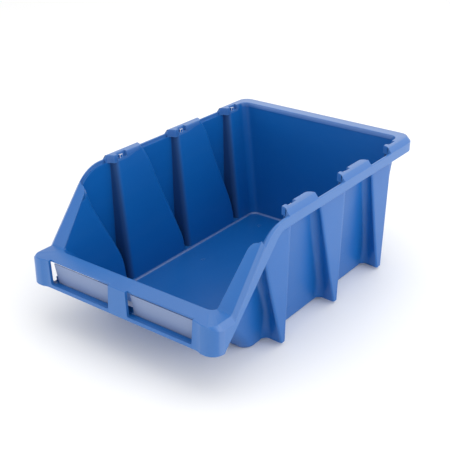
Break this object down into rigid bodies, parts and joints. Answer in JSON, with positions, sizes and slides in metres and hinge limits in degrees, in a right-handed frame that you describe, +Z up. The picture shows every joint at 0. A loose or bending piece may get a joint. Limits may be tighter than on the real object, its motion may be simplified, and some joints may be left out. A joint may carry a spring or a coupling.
{
  "type": "stackable storage bin",
  "caption": "Open-front plastic storage bin that stacks on a raised rim, nests by its side pilasters, and holds label plates behind windows in a front skirt.",
  "frame": {"origin": "middle of the bin's footprint, on the surface that it stands on", "axes": "+X to the right seen from the open front, +Y from the open front to the rear wall, +Z up"},
  "size_m": [0.305, 0.474, 0.1925],
  "materials": {
    "moulding": "satin injection-moulded polypropylene",
    "plate": "satin grey-blue plastic"
  },
  "bodies": {
    "bin": {"floor_pan": "moulding", "front_wall": "moulding", "rear_wall": "moulding", "front_panel_left": "moulding", "front_panel_right": "moulding", "middle_panel_left": "moulding", "middle_panel_right": "moulding", "back_panel_left": "moulding", "back_panel_right": "moulding", "corner_panel_left": "moulding", "corner_panel_right": "moulding", "front_pilaster_left": "moulding", "front_pilaster_right": "moulding", "middle_pilaster_left": "moulding", "middle_pilaster_right": "moulding", "rear_pilaster_left": "moulding", "rear_pilaster_right": "moulding", "rim_band": "moulding", "slope_rim_left": "moulding", "slope_rim_right": "moulding", "slope_crown_left": "moulding", "slope_crown_right": "moulding", "front_crown_left": "moulding", "front_crown_right": "moulding", "middle_crown_left": "moulding", "middle_crown_right": "moulding", "rear_crown": "moulding", "front_ledge": "moulding", "label_skirt": "moulding", "label_sill": "moulding", "label_lip": "moulding"},
    "label_plate_left": {"label_plate_left": "plate"},
    "label_plate_right": {"label_plate_right": "plate"}
  },
  "joints": [
    {"name": "left_plate_slide", "type": "slide", "parent": "bin", "child": "label_plate_left", "axis": [0, 0.1874, -0.9823], "range_m": [0, 0.034]},
    {"name": "right_plate_slide", "type": "slide", "parent": "bin", "child": "label_plate_right", "axis": [0, 0.1874, -0.9823], "range_m": [0, 0.034]}
  ]
}
